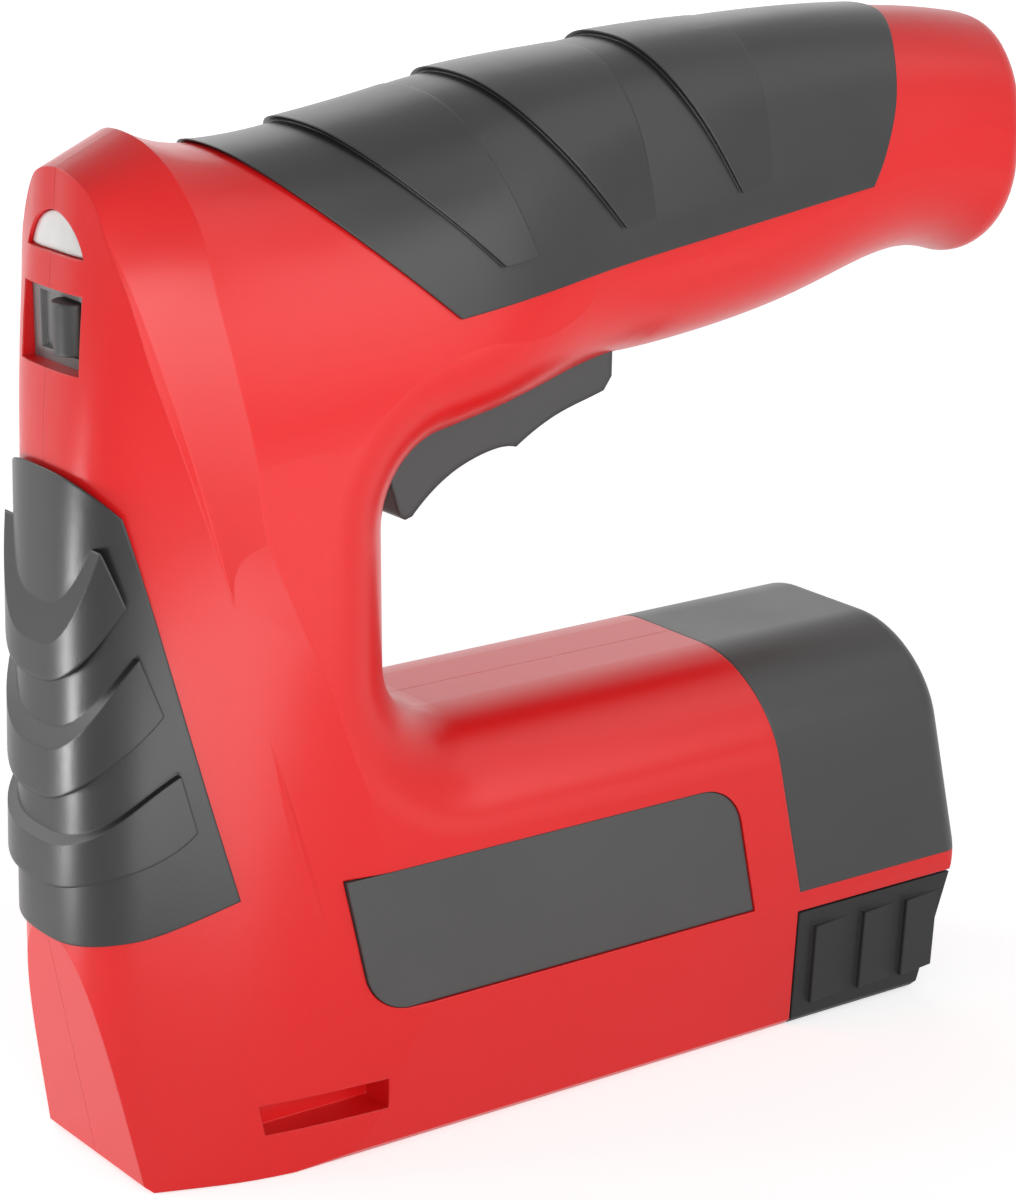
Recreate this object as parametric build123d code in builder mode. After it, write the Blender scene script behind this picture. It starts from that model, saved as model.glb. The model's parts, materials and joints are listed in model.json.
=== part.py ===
# Cordless stapler, built as separate pieces in millimetres.
# X runs from the nose to the rear, Y from the tool's left to its right, Z up.
# The origin is on the base, under the centre of the driver blade.
from build123d import *
from math import acos, cos, pi, radians, sin, tan
import os

os.makedirs("parts", exist_ok=True)

# Body outline
body_half = 21.0  # half the width of the arm and column
base_half = 19.4  # half the width at the base
kink_height = 19.4  # where the sides start to lean in
base_bevel = 0.9  # soft edge round the base
arm_top = 55.2
arm_rear = 120.5  # furthest point of the arm, at rear_kink
rear_kink = 23.5
arm_rear_lean = 12.3
latch_rear_lean = 15.0
column_rear = 27.3
gap_radius = 10.0
edge_round = 14.0
crest_x = 91.0  # highest place of the handle
crest_high = 142.0
head_high = 136.0
head_front = -35.0  # front of the block that the head is cut from
end_x = 135.5
end_top = 137.4
end_bottom = 103.0
end_lean = 3.5
waist_x = 121.0
waist_height = 106.3
roof_x = 47.0  # where the finger gap's roof turns to the inner corner
roof_height = 95.0
roof_slope = 0.2
rear_round = 3.0  # edges of the arm's rear face
end_round = 3.5  # edges of the handle's end
top_spare = 3.0  # height left on the block for the arched roof to trim

# Head of the column
collar_rear = 24.0  # where the plane at the collar's rear meets the base
collar_rear_lean = 10.33
collar_front = 21.2
collar_front_lean = 14.4
nose_front = -10.7
facet_lean = 10.3
facet_height = 60.0

# Shells and fits
wall = 2.8
seat_gap = 0.15  # between fixed pieces that are only placed
pad_gap = 0.1  # between the nose pad and the shell
slide_gap = 0.35  # between pieces that slide past each other
run_gap = 0.05  # radial, a shaft in its bearing

# Rear cap, stripe and magazine grip
shelf_top = 20.7
latch_top = 17.8
latch_front = 90.4
cap_front = 90.6
cap_lean = 0.21

# Drive
drive_height = 36.8  # height of the motor axis
pressure_angle = 25.0
gear_tip = 0.8  # addendum in modules
gear_root = 1.05  # dedendum in modules
gear_fill = 0.44  # tooth width as a share of the pitch
pinion_module = 1.0
pinion_teeth = 10
pinion_kept = [0.5, -0.5, -1.5, -2.5, -3.5, -4.5]  # tooth places left on, in pitches
planet_module = 0.6
sun_teeth = 12
planet_teeth = 12
ring_teeth = 36

# Handle
cell_radius = 9.2
cell_length = 65.0
cell_front = 52.0
cell_height = 122.8
pivot_x = 69.0
pivot_height = 104.0
trigger_half = 9.0
barrel_radius = 3.0  # round the trigger pin
pin_radius = 1.5
pin_boss_radius = 4.0

# Magazine
channel_inner = 6.0
channel_wall = 1.0
channel_roof = 11.4
rail_half = 4.7
rail_top = 9.0
rail_foot = 0.6
staple_wire = 0.75
staple_half = 5.7
staple_leg = 8.0
stick_front = 1.0
stick_length = 39.0
blade_half = 0.6  # half its thickness
blade_span = 5.5  # half its width
blade_tip = 0.6  # height of its edge at rest


def save(name, part):
    part.label = name
    export_step(part, "parts/" + name + ".step")


def slant(x, lean):
    # a plane across the body that meets the base at x and leans forward
    angle = radians(lean)
    return Plane(origin=(x, 0, 0), x_dir=(0, 1, 0), z_dir=(cos(angle), 0, sin(angle)))


def block(x0, x1, y0, y1, z0, z1):
    # a plain box given by its limits
    with BuildPart() as made:
        with BuildSketch(Plane.XY.offset(z0)):
            Polygon((x0, y0), (x1, y0), (x1, y1), (x0, y1), align=None)
        extrude(amount=z1 - z0)
    return made.part


def rod_x(x0, x1, y, z, radius):
    # a cylinder along X
    with BuildPart() as made:
        with BuildSketch(Plane.YZ.offset(x0)):
            with Locations((y, z)):
                Circle(radius)
        extrude(amount=x1 - x0)
    return made.part


def rod_y(x, z, y0, y1, radius):
    # a cylinder along Y
    with BuildPart() as made:
        with BuildSketch(Plane(origin=(x, y0, z), x_dir=(1, 0, 0), z_dir=(0, 1, 0))):
            Circle(radius)
        extrude(amount=y1 - y0)
    return made.part


def rod_z(x, y, z0, z1, radius):
    # a cylinder along Z
    with BuildPart() as made:
        with BuildSketch(Plane.XY.offset(z0)):
            with Locations((x, y)):
                Circle(radius)
        extrude(amount=z1 - z0)
    return made.part


def side_prism(points, half):
    # an outline seen from the side, run across the tool
    with BuildPart() as made:
        with BuildSketch(Plane.XZ):
            Polygon(*points, align=None)
        extrude(amount=half, both=True)
    return made.part


def mixed(base, added, removed):
    with BuildPart() as made:
        add(base)
        for piece in added:
            add(piece)
        for piece in removed:
            add(piece, mode=Mode.SUBTRACT)
    return made.part


def shared(first, second):
    with BuildPart() as made:
        add(first)
        add(second, mode=Mode.INTERSECT)
    return made.part


def behind(point):
    # distance along X from the arm's sloped rear face
    return abs(point.X - arm_rear + (point.Z - rear_kink) * tan(radians(arm_rear_lean)))


# Block with the side profile, finger gap and tapered handle
def rough_body():
    with BuildPart() as slab:
        with BuildSketch(Plane.XZ):
            with BuildLine():
                top = Polyline(
                    (head_front, head_high + top_spare),
                    (crest_x, crest_high + top_spare),
                    (end_x, end_top + top_spare),
                    (end_x - end_lean, end_bottom),
                )
                under = Spline(
                    [
                        top @ 1,
                        (waist_x, waist_height),
                        (98, 102.1),
                        (70, 98.3),
                        (roof_x, roof_height),
                    ],
                    tangents=[(-1, 0.6), (-1, -roof_slope)],
                )
                roof_end = roof_height - roof_slope * (roof_x - column_rear)
                rear_top = arm_rear - (arm_top - rear_kink) * tan(radians(arm_rear_lean))
                rear_foot = arm_rear - rear_kink * tan(radians(latch_rear_lean))
                Polyline(
                    under @ 1,
                    (column_rear, roof_end),
                    (column_rear, arm_top),
                    (rear_top, arm_top),
                    (arm_rear, rear_kink),
                    (rear_foot, 0),
                    (head_front, 0),
                    top @ 0,
                )
            make_face()
        extrude(amount=body_half, both=True)
        inner = slab.edges().filter_by(Axis.Y)
        inner = inner.filter_by(lambda e: abs(e.center().X - column_rear) < 0.01)
        fillet(inner, gap_radius)
        taper_start = column_rear + 1.2 * gap_radius
        with BuildSketch(Plane.XY.offset(arm_top + gap_radius + 2)):
            with BuildLine():
                flank = Spline(
                    [
                        (taper_start, body_half),
                        (58, 18),
                        (crest_x, 16.2),
                        (waist_x, 15.4),
                        (end_x + 8, 16.4),
                    ],
                    tangents=[(1, 0), (1, 0.08)],
                )
                far = body_half + 5
                Polyline(flank @ 1, (end_x + 8, far), (taper_start, far), flank @ 0)
            make_face()
            mirror(about=Plane.XZ)
        extrude(amount=100, mode=Mode.SUBTRACT)
        rims = slab.edges().filter_by(
            lambda e: abs(e.center().Y) > 8
            and abs((e % 0.5).Y) < 0.5
            and e.center().X > column_rear - 0.5
            and arm_top - 1 < e.center().Z < 110
        )
        fillet(rims, edge_round)
        rear_edges = slab.edges().filter_by(
            lambda e: e.center().Z > rear_kink + 0.1 and all(behind(e @ t) < 0.01 for t in (0, 0.5, 1))
        )
        fillet(rear_edges, rear_round)
    return slab.part


# Arched roof: place along X, half width, spring height, crown height
roof_rows = [
    (-14.0, 21.05, 88.0, 139.8),
    (-5.0, 21.05, 88.0, 135.7),
    (4.0, 21.05, 88.0, 132.1),
    (13.0, 21.05, 89.0, 131.5),
    (22.0, 21.05, 91.0, 132.35),
    (40.0, 21.05, 97.0, 135.75),
    (58.0, 18.15, 108.0, 138.1),
    (76.0, 17.0, 112.0, 139.8),
    (94.0, 16.2, 114.0, 140.7),
    (112.0, 15.9, 115.5, 140.5),
    (130.0, 16.1, 115.0, 138.8),
    (148.0, 17.2, 112.0, 134.6),
]
roof_power = 2.45  # squareness of the arch
roof_floor = 70.0


def arch_points(half, spring, crown):
    # half of a squared arch, from its spring to its crown
    turns = [0, 0.16, 0.34, 0.52, 0.68, 0.84, 1]
    row = []
    for turn in turns:
        angle = turn * pi / 2
        y = half * abs(cos(angle)) ** (2 / roof_power) if turn < 1 else 0
        z = spring + (crown - spring) * sin(angle) ** (2 / roof_power)
        row.append((y, z))
    return row


def arch_face(x, half, spring, crown):
    row = arch_points(half, spring, crown)
    with BuildSketch(Plane.YZ.offset(x)) as made:
        with BuildLine():
            Line((half, roof_floor), row[0])
            Spline(row + [(-y, z) for y, z in row[-2::-1]], tangents=[(0, 1), (0, -1)])
            Line((-half, spring), (-half, roof_floor))
            Line((-half, roof_floor), (half, roof_floor))
        make_face()
    return made.sketch


def arched_roof(grow):
    # the space under the arched roof, moved out by grow
    with BuildPart() as made:
        for x, half, spring, crown in roof_rows:
            add(arch_face(x, half + grow, spring, crown + grow))
        loft()
    return made.part


def above_roof(grow):
    cover = block(-13, 145, -60, 60, roof_floor + 0.5, 160)
    return mixed(cover, [], [arched_roof(grow)])


# Sloped collar between the two creases of the column, as half outlines from the base up
front_crease = [
    (21.2, -2), (20.4, 22), (19, 40), (18.3, 60), (18, 80), (17.4, 94), (16.5, 102),
    (15.1, 109.5), (13, 117.6), (9.9, 124), (6.8, 128.4), (3.5, 130), (0, 130.4),
]
rear_crease = [
    (21.9, -2), (22.1, 22), (23, 40), (23.4, 60), (23.6, 80), (23.1, 94), (22.4, 102.1),
    (21.1, 110.5), (19, 118.4), (15.4, 124.8), (10.8, 130.8), (5.6, 134.4), (0, 135.6),
]
collar_run = 60.0  # length of the straight part ahead of the collar
collar_margin = 0.2


def collar_face(x, lean, crease):
    stretch = 1 / cos(radians(lean))
    row = [(y, z * stretch) for y, z in crease]
    with BuildSketch(slant(x, lean)) as made:
        with BuildLine():
            Spline(row + [(-y, z) for y, z in row[-2::-1]])
            Line((-row[0][0], row[0][1]), row[0])
        make_face()
    return made.sketch


def collar_space():
    with BuildPart() as made:
        add(collar_face(collar_front - collar_run, collar_front_lean, front_crease))
        add(collar_face(collar_front, collar_front_lean, front_crease))
        add(collar_face(collar_rear, collar_rear_lean, rear_crease))
        loft(ruled=True)
    return made.part


def round_collar():
    # all that lies ahead of the collar's rear and outside it
    lean = tan(radians(collar_rear_lean))
    rear = collar_rear - collar_margin
    ahead = side_prism([(-60, -3), (rear + 3 * lean, -3), (rear - 150 * lean, 150), (-60, 150)], 40)
    return mixed(ahead, [], [collar_space()])


# Bowed front, as half outlines in plan at heights
bow_rows = [
    (-2, [(-17, 0), (-16.5, 5.9), (-13.7, 10.8), (-7.1, 14.2), (0.4, 16.9), (13, 19.2), (29, 21.1)]),
    (22, [(-16.9, 0), (-16.4, 5.9), (-13.6, 10.7), (-6.7, 13.9), (1.5, 16.9), (14.5, 19.7), (29, 21.1)]),
    (46, [(-16.4, 0), (-15.8, 6.1), (-13, 10.9), (-5.4, 14.2), (3.7, 17.3), (14, 20), (25.8, 21.5)]),
    (70, [(-15.5, 0), (-14.9, 6.4), (-12.2, 11), (-5.4, 14.6), (2.5, 17.8), (9.5, 20.4), (18.2, 23)]),
    (94, [(-14.7, 0), (-14.1, 6.6), (-12, 10.9), (-8.4, 14.2), (-4.2, 17.1), (0, 20.1), (5.6, 24)]),
    (118, [(-12.7, 0), (-12.4, 6.1), (-11.3, 9.6), (-10.3, 11.8), (-9.2, 13.7), (-7.4, 16.8), (-5.3, 20.5)]),
    (142, [(-11.5, 0), (-11.3, 5.8), (-10.8, 8.6), (-10.3, 10.4), (-9.7, 12.2), (-8.7, 15.2), (-7.5, 18.3)]),
]


def bowed_space(shift, squeeze):
    # the space behind the bowed front, moved along X and widened
    with BuildPart() as made:
        for z, row in bow_rows:
            half = [(x + shift, y * squeeze) for x, y in row]
            with BuildSketch(Plane.XY.offset(z)):
                with BuildLine():
                    Spline([(x, -y) for x, y in half[::-1]] + half[1:])
                    Polyline(half[-1], (80, 40), (80, -40), (half[-1][0], -half[-1][1]))
                make_face()
        loft()
    return made.part


def outer_body():
    with BuildPart() as arched:
        add(rough_body())
        add(above_roof(0), mode=Mode.SUBTRACT)
        end_face = arched.faces().filter_by(GeomType.PLANE).sort_by(lambda f: f.center().X)[-1]
        fillet(end_face.outer_wire().edges(), end_round)
    ahead = mixed(block(-50, 70, -38, 38, -1.5, 141), [], [bowed_space(0, 1)])
    facet_tan = tan(radians(facet_lean))
    facet = side_prism(
        [
            (nose_front + base_bevel, 0),
            (nose_front - base_bevel * facet_tan, base_bevel),
            (nose_front - facet_height * facet_tan, facet_height),
            (-60, facet_height),
            (-60, 0),
        ],
        40,
    )
    draft_tan = (body_half - base_half) / kink_height
    with BuildPart() as drafts:
        with BuildSketch(Plane.YZ.offset(-100)):
            Polygon(
                (base_half - base_bevel, 0),
                (base_half + base_bevel * draft_tan, base_bevel),
                (body_half, kink_height),
                (40, kink_height),
                (40, 0),
                align=None,
            )
            mirror(about=Plane.YZ)
        extrude(amount=300)
    return mixed(arched.part, [], [ahead, round_collar(), facet, drafts.part])


body = outer_body()

# Zones of the rear cap and the magazine grip
cap_high = 70.0
cap_zone = side_prism(
    [
        (cap_front, shelf_top),
        (140, shelf_top),
        (140, cap_high),
        (cap_front - cap_lean * (cap_high - shelf_top), cap_high),
    ],
    40,
)
latch_zone = block(latch_front, 140, -40, 40, -1, latch_top)

# Hollows
arm_hollow_half = 18.0
arm_hollow_top = arm_top - wall
rear_wall = 3.0
with BuildPart() as arm_hollow:
    with BuildSketch(Plane.YZ.offset(10)):
        with BuildLine():
            soft = 12.0
            Polyline((-arm_hollow_half, shelf_top), (arm_hollow_half, shelf_top))
            Line((arm_hollow_half, shelf_top), (arm_hollow_half, arm_hollow_top - soft))
            RadiusArc(
                (arm_hollow_half, arm_hollow_top - soft), (arm_hollow_half - soft, arm_hollow_top), -soft
            )
            Line((arm_hollow_half - soft, arm_hollow_top), (soft - arm_hollow_half, arm_hollow_top))
            RadiusArc(
                (soft - arm_hollow_half, arm_hollow_top), (-arm_hollow_half, arm_hollow_top - soft), -soft
            )
            Line((-arm_hollow_half, arm_hollow_top - soft), (-arm_hollow_half, shelf_top))
        make_face()
    extrude(amount=120)
    lean_tan = tan(radians(arm_rear_lean))
    hollow_foot = arm_rear - rear_wall - (rear_kink - shelf_top) * tan(radians(latch_rear_lean))
    hollow_head = arm_rear - rear_wall - (cap_high - rear_kink) * lean_tan
    add(
        side_prism(
            [
                (9, shelf_top),
                (hollow_foot, shelf_top),
                (hollow_head, cap_high),
                (9, cap_high),
            ],
            30,
        ),
        mode=Mode.INTERSECT,
    )

bore_rows = [
    (6, 26, 28, 112),
    (50, 27, 33, 116),
    (90, 26.5, 31.5, 119.75),
    (121, 25, 25.5, 121.75),
    (131, 25, 26, 120),
]
with BuildPart() as handle_bore:
    for x, wide, high, middle in bore_rows:
        with BuildSketch(Plane.YZ.offset(x)):
            with Locations((0, middle)):
                RectangleRounded(wide, high, 9)
    loft(ruled=True)

board_half = 7.6  # circuit board of the light
board_low = 118.45
board_high = 126.15
hammer_half = 9.0
well_half = hammer_half + slide_gap
well_front = -4.5
spring_seat = 97.0
with BuildPart() as column_hollow:
    side_room = 17.0
    back_room = column_rear - 3.0
    with BuildSketch(Plane.XY.offset(shelf_top)):
        Polygon(
            (9, -side_room),
            (side_room, -side_room),
            (back_room, -10.5),
            (back_room, 0),
            (9, 0),
            align=None,
        )
        mirror(about=Plane.XZ)
    extrude(amount=104 - shelf_top)
    add(block(-8, 10, -well_half, well_half, shelf_top, spring_seat))
    add(block(-5.5, 10, -9.5, 9.5, 101, board_high + seat_gap))
    add(block(well_front, 16.5, -well_half, well_half, 16, shelf_top + 1))

tunnel_half = channel_inner + channel_wall
tunnel_front = -2.4
plate_rear = -blade_half - slide_gap
tunnel = block(tunnel_front, latch_front + 1, -tunnel_half, tunnel_half, -1, channel_roof + channel_wall)
slot_span = blade_span + slide_gap
blade_slot = block(plate_rear, -plate_rear, -slot_span, slot_span, 12, 16.5)

# Front of the head: light and switch
lens_radius = 7.1
lens_base = 120.7
lens_top = 125.5
lens_back = -9.0


def half_moon(grow, x0, x1):
    with BuildPart() as made:
        with BuildSketch(Plane.YZ.offset(x0)):
            with Locations((0, lens_top - lens_radius)):
                Circle(lens_radius + grow)
            with Locations((0, lens_base - grow - 20)):
                Rectangle(60, 40, mode=Mode.SUBTRACT)
        extrude(amount=x1 - x0)
    return made.part


front_room = -5.0  # rear of the pockets behind the front wall
window = block(-20, -8, -7.1, 7.1, 106.5, 116.2)
plate_front = -11.4
plate_half = 8.5
plate_low = 105.5
plate_high = 117.2
switch_pocket = block(
    plate_front, front_room,
    -plate_half - seat_gap, plate_half + seat_gap,
    plate_low - seat_gap, plate_high + seat_gap,
)
light_pocket = block(
    lens_back, front_room,
    -board_half - seat_gap, board_half + seat_gap,
    board_low - seat_gap, board_high + seat_gap,
)

# Staple windows near the nose
window_depth = 14.5
view_front = 4.2
view_rear = 21.8
view_low = 6.0
view_high = 10.2
view_lean = 0.8  # the front end leans forward
staple_view = side_prism(
    [
        (view_front, view_low),
        (view_rear, view_low),
        (view_rear, view_high),
        (view_front - view_lean, view_high),
    ],
    30,
)
staple_windows = [mixed(staple_view, [], [block(0, 30, -window_depth, window_depth, 0, 20)])]

# Trigger opening
slot_half = trigger_half + slide_gap
slot_front = 27.6
slot_rear = 66.3
slot_top = pivot_height + barrel_radius + slide_gap
barrel_pocket = barrel_radius + slide_gap
trigger_slot = mixed(
    block(slot_front, slot_rear, -slot_half, slot_half, 76, slot_top),
    [
        block(slot_rear - 1, pivot_x, -slot_half, slot_half, pivot_height - barrel_pocket, slot_top),
        rod_y(pivot_x, pivot_height, -slot_half, slot_half, barrel_pocket),
    ],
    [],
)

# Label panels
panel_outline = [(15.3, 39.2), (78.5, 39.2), (82.3, 19.9), (19.5, 19.9)]
panel_round = 7.0
panel_sunk = 0.25
panel_thick = 1.5


def panel_shape(y0, y1, grow):
    with BuildPart() as made:
        with BuildSketch(Plane(origin=(0, y0, 0), x_dir=(1, 0, 0), z_dir=(0, -1, 0))) as outline:
            Polygon(*panel_outline, align=None)
            ends = outline.vertices().sort_by(Axis.X)
            fillet([ends[1], ends[2]], panel_round)
            if grow > 0:
                offset(amount=grow, kind=Kind.INTERSECTION)
        extrude(amount=y0 - y1)
    return made.part


panel_back = body_half - panel_sunk - panel_thick
panel_recesses = [
    panel_shape(-panel_back, -body_half - 1, seat_gap),
    panel_shape(body_half + 1, panel_back, seat_gap),
]

# Grip over the handle
grip_low = [(-12.6, 149.8), (33.5, 110.1), (104.5, 118.5)]  # front and lower edges
grip_rear = [(104.5, 118.5), (106.6, 122.5), (109.3, 128.9), (111, 134.5), (114, 139.9), (121, 144)]
grip_sunk = 1.3
grip_proud = 0.5
with BuildPart() as grip_space:
    with BuildSketch(Plane.XZ):
        with BuildLine():
            Polyline(*grip_low)
            Spline(grip_rear)
            Polyline(grip_rear[-1], (grip_rear[-1][0], grip_low[0][1]), grip_low[0])
        make_face()
    extrude(amount=40, both=True)
sunk_roof = arched_roof(-grip_sunk)
grip_recess = mixed(grip_space.part, [], [sunk_roof])

# Charging socket
socket_radius = 4.5
socket_height = 114.0
socket_front = 122.0
inlet_radius = 3.2

# Screws from the right
base_screws = [(40, 17.0), (84, 17.0)]
boss_screws = [(19, 88), (33, 104), (86, 106.5), (124, 130)]
screw_places = base_screws + boss_screws
screw_radius = 1.5
screw_head_radius = 2.8
screw_head_y = 12.0
screw_head_high = 2.0
screw_tip_y = -11.0
boss_radius = 3.6

# Supports inside the shells
switch_box = block(44.5, 57, -3.2, 3.2, 106, 113)
full_hollow = mixed(arm_hollow.part, [column_hollow.part, handle_bore.part], [])
gearbox_radius = 14.6
motor_radius = 14.0
gearbox_front = 40.0
motor_front = 61.0
motor_rear = 98.0
bearing_radius = 4.5
bearing_front = 17.0
bearing_length = 4.0
rib_thick = 2.5


def arm_rib(x0, x1, radius):
    plate = shared(arm_hollow.part, block(x0, x1, -30, 30, 0, 90))
    return mixed(plate, [], [rod_x(x0 - 1, x1 + 1, 0, drive_height, radius)])


def bore_rib(x0, x1, z0, z1):
    return shared(handle_bore.part, block(x0, x1, -30, 30, z0, z1))


cell_hole = rod_x(cell_front - 5, cell_front + cell_length + 5, 0, cell_height, cell_radius + seat_gap)
supports = [
    arm_rib(bearing_front, bearing_front + bearing_length, bearing_radius),
    arm_rib(44, 44 + rib_thick, gearbox_radius + seat_gap),
    arm_rib(64, 64 + rib_thick, motor_radius + seat_gap),
    arm_rib(78, 78 + rib_thick, motor_radius + seat_gap),
    mixed(bore_rib(60, 62, 116, 140), [], [cell_hole]),
    mixed(bore_rib(107, 109, 100, 140), [], [cell_hole]),
    bore_rib(cell_front - 3, cell_front - 1, 117, 140),
    bore_rib(cell_front + cell_length + 1, cell_front + cell_length + 3, 100, 140),
]
hollowed = mixed(
    body,
    [],
    [
        cap_zone,
        latch_zone,
        full_hollow,
        tunnel,
        blade_slot,
        half_moon(seat_gap, -20, front_room),
        window,
        switch_pocket,
        light_pocket,
        trigger_slot,
        grip_recess,
    ]
    + staple_windows
    + panel_recesses,
)
supports += [
    bore_rib(35, 43.5, 106, 108),
    mixed(bore_rib(46, 48, 105.5, 113.3), [], [switch_box]),
    mixed(bore_rib(53.5, 55.5, 105.5, 113.3), [], [switch_box]),
    shared(handle_bore.part, rod_y(pivot_x, pivot_height, slot_half, 16, pin_boss_radius)),
    shared(handle_bore.part, rod_y(pivot_x, pivot_height, -16, -slot_half, pin_boss_radius)),
]
for x, z in boss_screws:
    boss = rod_y(x, z, -18, 18, boss_radius)
    supports.append(shared(boss, full_hollow))
holes = [
    rod_x(socket_front, 145, 0, socket_height, socket_radius + seat_gap),
    rod_y(pivot_x, pivot_height, -12, 12, pin_radius),
]
for x, z in screw_places:
    holes.append(rod_y(x, z, screw_tip_y, 0, screw_radius))
    holes.append(rod_y(x, z, 0, screw_head_y, screw_radius + seat_gap))
    holes.append(rod_y(x, z, screw_head_y, 30, screw_head_radius + seat_gap))
shell = mixed(hollowed, supports, holes)

left_housing = shared(shell, block(-60, 160, -60, 0, -5, 170))
save("left_housing", left_housing)
right_housing = shared(shell, block(-60, 160, 0, 60, -5, 170))
save("right_housing", right_housing)

with BuildPart() as housing_screws:
    for x, z in screw_places:
        add(rod_y(x, z, screw_head_y, screw_head_y + screw_head_high, screw_head_radius))
        add(rod_y(x, z, screw_tip_y, screw_head_y, screw_radius))
save("housing_screws", housing_screws.part)

# Rear cap over the motor's end
rear_cap = mixed(shared(body, cap_zone), [], [arm_hollow.part])
save("rear_cap", rear_cap)

# Grip with three scales, each a step at its front that runs out to the rear
scale_step = 0.8
scale_end = 0.15  # share of the step left at the rear edge
scales = [
    [(21.2, 133.9), (40.4, 115.8), (45.7, 116.4), (38.8, 136.5)],
    [(45.4, 137.0), (60.8, 118.1), (66.2, 118.6), (64.8, 138.5)],
    [(69.8, 140.5), (80.7, 120.4), (86.3, 121.2), (87.0, 140.0)],
]


def run_out(x, x0, x1):
    # height of a scale at x, from its full step at x0 to what is left at x1
    fall = (1 - scale_end) * (x - x0) / (x1 - x0)
    return scale_step * min(1, 1 - fall)


def scale_piece(high_front, low_front, low_rear, high_rear):
    with BuildPart() as made:
        for x, half, spring, crown in roof_rows:
            if high_front[0] - 40 < x < low_rear[0] + 40:
                side = grip_proud + run_out(x, low_front[0], low_rear[0])
                top = grip_proud + run_out(x, high_front[0], high_rear[0])
                add(arch_face(x, half + side, spring, crown + top))
        loft()
        edges = []
        for high, low in ((high_front, low_front), (high_rear, low_rear)):
            run = (high[0] - low[0]) / (high[1] - low[1])
            edges.append((high[0] + run * (150 - high[1]), 150))
        add(side_prism([edges[0], low_front, low_rear, edges[1]], 40), mode=Mode.INTERSECT)
    return made.part


with BuildPart() as handle_grip:
    add(shared(grip_space.part, arched_roof(grip_proud)))
    for corners in scales:
        add(scale_piece(*corners))
    add(arched_roof(seat_gap - grip_sunk), mode=Mode.SUBTRACT)
save("handle_grip", handle_grip.part)

# Nose pad with three raised bands
pad_rim = [(-25, 31), (-25, 105.1), (-11.2, 89.8), (1.4, 39)]
pad_low = [(1.4, 39), (-2.2, 37.6), (-6.4, 36.1), (-10.5, 35.1), (-14.4, 34.5), (-18, 33.4), (-25, 31)]
pad_proud = 0.8
pad_spread = 1.05
band_proud = 1.2
band_spread = 1.10
bands = [
    ([(-18.6, 68), (-16.2, 77.1), (-13.9, 85.9)], [(-11.6, 78.9), (-15.7, 71.6), (-18.6, 65.6)]),
    (
        [(-22, 50.8), (-17.5, 59.8), (-14.6, 65.6), (-10.4, 72.3)],
        [(-7.7, 64.8), (-12.5, 59.7), (-15.5, 56.7), (-17.9, 53), (-22, 46)],
    ),
    (
        [(-22, 44), (-17.5, 47.6), (-13.2, 51.2), (-9.7, 54), (-5.8, 56.7)],
        [(-4, 49.1), (-6.6, 46.8), (-11.9, 44.5), (-15.5, 43.3), (-18.4, 41.4), (-22, 38.6)],
    ),
]


def front_prism(upper, lower):
    # an outline seen from the side with curved upper and lower edges
    with BuildPart() as made:
        with BuildSketch(Plane.XZ):
            with BuildLine():
                Spline(upper)
                Line(upper[-1], lower[0])
                Spline(lower)
                Line(lower[-1], upper[0])
            make_face()
        extrude(amount=30, both=True)
    return made.part


with BuildPart() as pad_prism:
    with BuildSketch(Plane.XZ):
        with BuildLine():
            Polyline(*pad_rim)
            Spline(pad_low)
        make_face()
    extrude(amount=30, both=True)
with BuildPart() as nose_pad:
    add(shared(pad_prism.part, bowed_space(-pad_proud, pad_spread)))
    band_space = bowed_space(-pad_proud - band_proud, band_spread)
    for upper, lower in bands:
        add(shared(front_prism(upper, lower), band_space))
    add(bowed_space(-pad_gap, 1 + pad_gap / body_half), mode=Mode.SUBTRACT)
save("nose_pad", nose_pad.part)

# Label panels
left_panel = panel_shape(-panel_back, panel_sunk - body_half, 0)
save("left_label_panel", left_panel)
right_panel = panel_shape(body_half - panel_sunk, panel_back, 0)
save("right_label_panel", right_panel)

# Work light
lens = shared(half_moon(0, -20, lens_back), bowed_space(0.6, 1))
save("light_lens", lens)
board_front = -7.4
board_thick = 1.6
light_board = block(board_front, board_front + board_thick, -board_half, board_half, board_low, board_high)
lamps = [rod_x(lens_back, board_front, y, 122.6, 1.5) for y in (-3, 3)]
save("light_board", mixed(light_board, lamps, []))

# Power switch
plate_thick = 1.6
knob_y = -2.0
knob_travel = 4.2
knob_gap = 0.1
knob_half = 2.75
knob_depth = 2.0  # how far the rounded front stands out from the plate
knob_low = 108.25
knob_high = 114.75
track_depth = 0.8  # shallow track that the knob slides in
stem_half = 1.2
stem_low = 110.45
stem_high = 112.55
track_floor = plate_front + track_depth
track = block(
    plate_front - 1, track_floor,
    knob_y - knob_half - slide_gap, knob_y + knob_travel + knob_half + slide_gap,
    knob_low - slide_gap, knob_high + slide_gap,
)
stem_cut = block(
    plate_front, plate_front + plate_thick + 1,
    knob_y - stem_half - slide_gap, knob_y + knob_travel + stem_half + slide_gap,
    stem_low - slide_gap, stem_high + slide_gap,
)
plate = block(plate_front, plate_front + plate_thick, -plate_half, plate_half, plate_low, plate_high)
save("switch_plate", mixed(plate, [], [track, stem_cut]))
knob_back = track_floor - knob_gap
knob_round = (knob_half ** 2 + knob_depth ** 2) / (2 * knob_depth)
keeper_front = plate_front + plate_thick + knob_gap
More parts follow.
